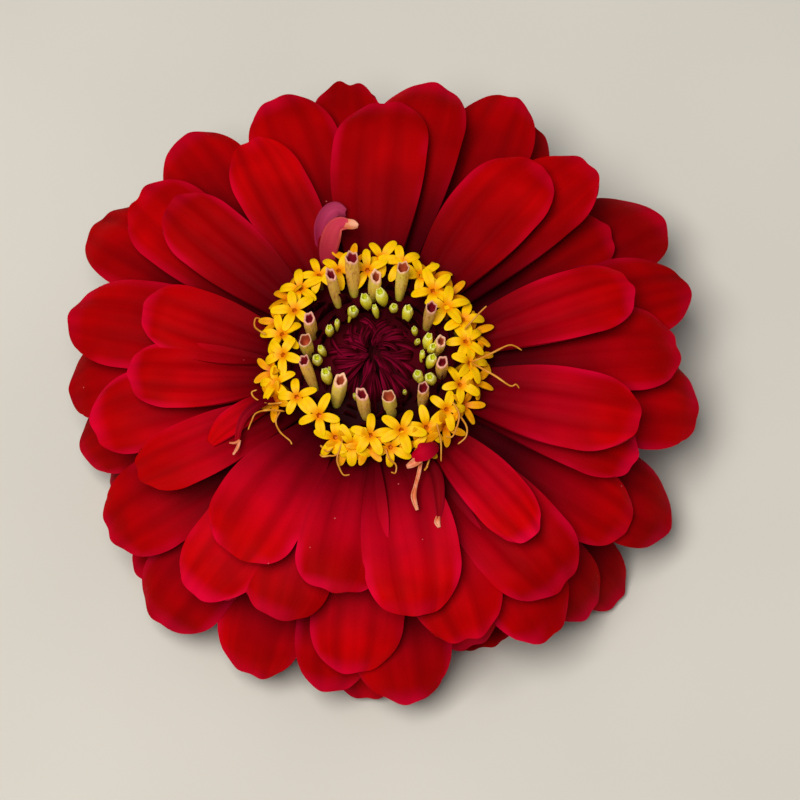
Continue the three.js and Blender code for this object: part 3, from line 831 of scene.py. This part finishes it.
def chaff():
    """The crown of pales, the low pales that stand between the florets, and the bed they all grow from."""
    chance = random.Random(11)
    crown = [
        (14, 6.2, 2.9, 0.4, 3.4, 1.9), (12, 5.4, 1.7, 1.0, 4.3, 1.8),
        (9, 4.0, 0.9, 1.8, 4.8, 1.6), (6, 2.7, 0.6, 2.1, 4.5, 1.3),
    ]
    pales = whorls_of_pales(crown, (-26, 40), (0.5, 0.9), MAROON, chance)
    piece = joined("chaff_crown_pales", pales, 60)
    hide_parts("chaff_crown")
    scales = [
        (26, 10.4, 10.3, -0.1, 3.0, 1.7), (24, 9.0, 8.8, -0.1, 3.3, 1.7), (22, 7.6, 7.4, -0.1, 3.1, 1.7),
        (20, 6.8, 6.4, -0.1, 3.3, 1.7),
    ]
    pales = whorls_of_pales(scales, (-8, 8), (0.1, 0.5), BLACK_CHAFF, chance)
    joined("chaff_between_florets", pales, 60)

    floor = DISC_FLOOR
    bed = turned(
        [(10.9, floor - 0.4), (11.2, floor + 0.2), (9.6, floor + 0.9), (6.6, floor + 1.3), (5.0, floor + 1.9),
         (3.0, floor + 2.4), (1.2, floor + 2.2)], 40, BLACK_CHAFF,
    )
    joined("disc_floor", [bed], 60)


def young_rays():
    """The undersized rays between the disc and the limbs, and their withered ends."""
    chance = random.Random(2)
    rays = [
        strip([(112, 14.6, 22.8), (111, 15.8, 24.4), (109, 16.6, 26.2), (106, 17.4, 28), (103, 17.7, 28.9),
               (100, 17.4, 29.3)], [1.6, 2.0, 2.4, 2.5, 2.0, 1.2], 0.2, YOUNG, chance),
        strip([(113, 16.8, 23.6), (111, 18.5, 24.5), (109, 19.6, 25.6), (106, 20.4, 26.6), (103, 20.7, 26.8),
               (100, 20.4, 26.2)], [0.8, 1.4, 1.8, 2.0, 1.9, 1.0], 0.3, FOLDED, chance),
        strip([(201, 13.0, 24.4), (202, 16.0, 25.0), (205, 20.0, 25.2), (208, 22.8, 25.0)],
              [1.8, 3.0, 3.2, 1.2], 0.12, VELVET, chance),
        strip([(204, 13.4, 26.6), (204, 15.6, 26.9), (206, 17.7, 26.6), (210, 19.2, 26.2), (214, 20.2, 26.0)],
              [0.6, 1.0, 0.9, 0.6, 0.4], 0.3, DARK_CRIMSON, chance),
        strip([(297, 13.2, 25.0), (298, 16.7, 25.2), (295, 19.6, 25.2), (292, 22.2, 25.0)],
              [1.0, 1.5, 1.3, 0.5], 0.3, DARK_CRIMSON, chance),
        strip([(305, 13.4, 26.4), (302, 13.9, 27.7), (298, 14.2, 28.2), (294, 14.2, 28.0), (291, 14.0, 27.0)],
              [1.3, 2.1, 2.3, 2.0, 1.2], -0.25, CRIMSON, chance),
    ]
    joined("young_rays", rays)
    withered = [
        strip([(296, 14.6, 27.2), (293, 14.8, 27.1), (290, 14.9, 26.8), (287, 14.9, 26.5)],
              [0.5, 0.9, 0.8, 0.35], 0.4, SALMON, chance),
        strip([(295, 14.6, 26.8), (291, 16.2, 26.2), (288, 17.5, 26.0), (286, 18.8, 25.9), (286, 20.4, 25.6)],
              [0.3, 0.36, 0.34, 0.55, 0.25], 0.5, SALMON, chance),
        strip([(292, 21.9, 25.1), (291, 22.6, 25.2), (291, 23.3, 25.3)],
              [0.4, 0.6, 0.25], 0.4, SALMON, chance),
        strip([(101, 17.6, 29.2), (98, 17.2, 29.5), (96, 17.0, 29.5)],
              [1.3, 1.2, 0.4], 0.15, SALMON, chance),
        strip([(213, 19.6, 26.2), (215, 20.4, 26.2), (216, 21.3, 26.1)],
              [0.25, 0.34, 0.16], 0.4, SALMON, chance),
        strip([(213, 19.6, 26.2), (213, 20.3, 26.3), (212, 20.9, 26.4)],
              [0.25, 0.25, 0.14], 0.4, SALMON, chance),
    ]
    joined("withered_ray_tips", withered)


def styles():
    """The styles that stand out of the open florets, most of them curled over the rays."""
    chance = random.Random(4)
    paths = [
        [(209, 12.6, 27.4), (205, 14.4, 26.9), (200, 15.5, 26.7), (197, 15.7, 26.9), (197, 15.0, 27.3)],
        [(214, 13.0, 27.4), (209, 14.7, 27.5), (207, 16.2, 26.9), (209, 17.2, 26.4), (211, 18.0, 26.1)],
        [(212, 13.4, 27.2), (215, 14.6, 26.8), (220, 14.9, 26.2), (226, 14.7, 25.8), (228, 14.9, 25.7)],
        [(168, 13.6, 27.8), (165, 15.2, 27.4), (161, 15.5, 27.6), (161, 14.8, 28.1)],
        [(250, 10.8, 27.7), (252, 12.0, 27.6), (252, 13.9, 26.9), (254, 14.8, 26.5), (257, 15.6, 26.2),
         (260, 15.5, 26.5)],
        [(252, 13.4, 27.1), (250, 13.8, 27.0), (248, 14.0, 27.0), (245, 14.4, 26.9), (243, 14.2, 26.7)],
        [(241, 13.2, 26.9), (246, 13.6, 27.1), (248, 13.0, 27.3)],
        [(278, 12.2, 27.6), (279, 13.5, 27.2), (282, 14.4, 26.7), (281, 15.3, 26.4), (279, 15.1, 26.5)],
        [(300, 13.8, 27.0), (299, 14.8, 26.8), (296, 15.7, 26.6), (294, 16.1, 26.5), (296, 15.9, 26.9)],
        [(311, 12.2, 28.6), (307, 14.2, 27.9), (302, 16.2, 26.9)],
        [(328, 11.8, 28.2), (324, 13.4, 28.0), (317, 14.3, 27.6), (313, 14.5, 27.2), (311, 13.9, 27.4)],
        [(325, 13.0, 27.4), (322, 14.9, 27.3), (318, 15.7, 27.0), (313, 15.6, 26.8)],
        [(355, 12.4, 28.2), (358, 14.2, 29.0), (2, 16.4, 29.4)],
        [(355, 12.4, 28.2), (359, 15.0, 29.4), (2, 17.2, 29.9), (0, 18.7, 29.6)],
        [(355, 12.4, 28.2), (349, 15.5, 28.7), (346, 17.7, 28.5), (347, 18.4, 28.6), (346, 18.9, 28.3)],
        [(16, 12.0, 28.2), (21, 14.2, 28.9), (23, 15.6, 29.3)],
    ]
    threads = [thread(path, 0.14, THREAD, chance) for path in paths]
    joined("styles", threads, 60)


def cup_spot(angle, azimuth, proud):
    """A point on the involucre's cup, a quarter of an ellipse in outline, proud of it by so much."""
    turn = math.radians(angle)
    radius = CUP_FOOT + (CUP_FLARE + proud) * math.sin(turn)
    return spot(radius, azimuth, CUP_RIM - (CUP_DEPTH + proud) * math.cos(turn))


def involucre():
    """The cup, and four whorls of bracts on it, each bract over the gap between two of the next whorl."""
    chance = random.Random(3)
    cup = [cup_spot(angle, 0, -0.25) / MM for angle in (2, 15, 30, 45, 60, 75, 90)]
    wall = turned([(p.x, p.z) for p in cup] + [(10.9, 16.3), (10.9, 14.2), (8.9, 13.9)], 48, BRACT)
    bracts = [wall]
    apart = 360 / BRACTS_IN_WHORL
    for start, tip, offset in ((2, 40, 0), (18, 62, 0.5), (36, 82, 0), (52, 97, 0.5)):
        for number in range(BRACTS_IN_WHORL):
            azimuth = apart * (number + offset) + chance.uniform(-2, 2)
            reach = tip + chance.uniform(-3, 2)
            width = apart * chance.uniform(1.15, 1.3)
            lift = chance.uniform(0.55, 0.85)

            def point(across, along):
                side, way = leaf_outline(across, along, 0.6, 0.7)
                angle = start + (reach - start) * way
                proud = 0.15 + lift * way ** 2 - 0.25 * across ** 2
                return cup_spot(min(angle, 96), azimuth - side * width / 2, proud)

            bracts.append(thicken(blade(10, 12, point, BRACT, chance.uniform(0, 9)), 0.3))
    piece = joined("involucre_bracts", bracts)
    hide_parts("involucre")


def stalk():
    """The cut stalk, from inside its bore round the cut end and up to the cup, with ribs and short hairs.
    The ribs are on its outside only, so that the bore stays round."""
    tube = turned(
        [(1.15, 4.3), (1.2, 0.9), (1.28, 0.12), (1.5, 0.0), (2.1, 0.02), (2.3, 0.22), (2.26, 1.5),
         (2.28, 3.0), (2.4, 4.2), (2.8, 5.3), (3.3, 6.4), (4.6, 8.0)], 36, STEM,
    )
    for vertex in tube.data.vertices:
        azimuth = math.atan2(vertex.co.y, vertex.co.x)
        outside = smooth((math.hypot(vertex.co.x, vertex.co.y) / MM - 1.9) / 0.3)
        rib = 1 + 0.035 * outside * math.cos(12 * azimuth)
        vertex.co.x *= rib
        vertex.co.y *= rib
    chance = random.Random(8)
    bpy.ops.object.select_all(action="DESELECT")
    bpy.ops.mesh.primitive_cone_add(vertices=4, radius1=0.035 * MM, radius2=0.008 * MM, depth=0.7 * MM)
    hair = bpy.context.active_object
    hair.data.materials.append(STEM)
    hairs = []
    for _ in range(STALK_HAIRS):
        azimuth, height = chance.uniform(0, 360), chance.uniform(0.8, 5.0)
        place = Matrix.Translation(spot(2.5, azimuth, height))
        turn = Matrix.Rotation(math.radians(azimuth), 4, "Z") @ Matrix.Rotation(math.radians(105), 4, "Y")
        hairs.append(copied(hair, place @ turn))
    bpy.data.objects.remove(hair)
    piece = joined("stalk_skin", [tube, *hairs], 40)
    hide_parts("stalk")


def ray_collar():
    """The ring of ovaries that the rays grow from, in shade under them."""
    floor = DISC_FLOOR
    ring = turned([(9.2, 14.2), (10.7, 14.4), (10.9, 18), (10.8, floor - 0.6), (9.4, floor - 0.3)], 48, BACK)
    joined("ray_collar", [ring])


def soft_box(name, azimuth, elevation, distance, size, power, colour):
    """A square soft box aimed at the bloom. Power is in watts, distance and size in metres."""
    lamp = bpy.data.lights.new(name, "AREA")
    lamp.size = size
    lamp.energy = power
    lamp.color = linear(colour)[:3]
    box = bpy.data.objects.new(name, lamp)
    turn, rise = math.radians(azimuth), math.radians(elevation)
    away = Vector((math.cos(turn) * math.cos(rise), math.sin(turn) * math.cos(rise), math.sin(rise)))
    box.location = away * distance
    box.rotation_euler = away.to_track_quat("Z", "Y").to_euler()
    bpy.context.scene.collection.objects.link(box)


def studio():
    """A pale table top, so wide that it has no edge in the picture, three soft boxes and a faint even sky."""
    bpy.ops.object.select_all(action="DESELECT")
    bpy.ops.mesh.primitive_plane_add(size=6)
    floor = bpy.context.active_object
    floor.name = "table_top"
    floor.data.materials.append(PLASTER)
    soft_box("key light", 220, 74, 0.7, 0.36, 4.3, "fffaf2")
    soft_box("fill light", 20, 40, 0.8, 0.5, 0.2, "f4f8ff")
    soft_box("back light", 130, 55, 0.9, 0.6, 0.4, "ffffff")
    world = bpy.data.worlds.new("studio")
    world.use_nodes = True
    world.node_tree.nodes["Background"].inputs["Color"].default_value = linear("f2f4f6")
    world.node_tree.nodes["Background"].inputs["Strength"].default_value = 0.13
    bpy.context.scene.world = world
    bpy.context.scene.view_settings.view_transform = "Standard"


def camera():
    """The view down on the open bloom, 20 degrees off its axis, with the disc's middle a little left of and
    above the picture's."""
    elevation, distance = math.radians(70), 400 * MM
    left, above = DISC_LEFT / PIXELS_PER_MM * MM, DISC_ABOVE / PIXELS_PER_MM * MM
    upward = Vector((0, math.sin(elevation), math.cos(elevation)))
    back = Vector((0, -math.cos(elevation), math.sin(elevation)))
    disc = AXIS + Vector((0, 0, STAR_TOP * MM))
    lens = bpy.data.cameras.new("camera")
    lens.sensor_width = 36
    lens.lens = lens.sensor_width * (distance / MM) * PIXELS_PER_MM / PICTURE
    lens.clip_start = 0.01
    eye = bpy.data.objects.new("camera", lens)
    eye.location = disc + Vector((left, 0, 0)) - upward * above + back * distance
    eye.rotation_euler = back.to_track_quat("Z", "Y").to_euler()
    bpy.context.scene.collection.objects.link(eye)
    bpy.context.scene.camera = eye


camera()
studio()
ray_rows()
ray_collar()
young_rays()
open_florets()
styles()
bud_florets()
chaff()
involucre()
stalk()
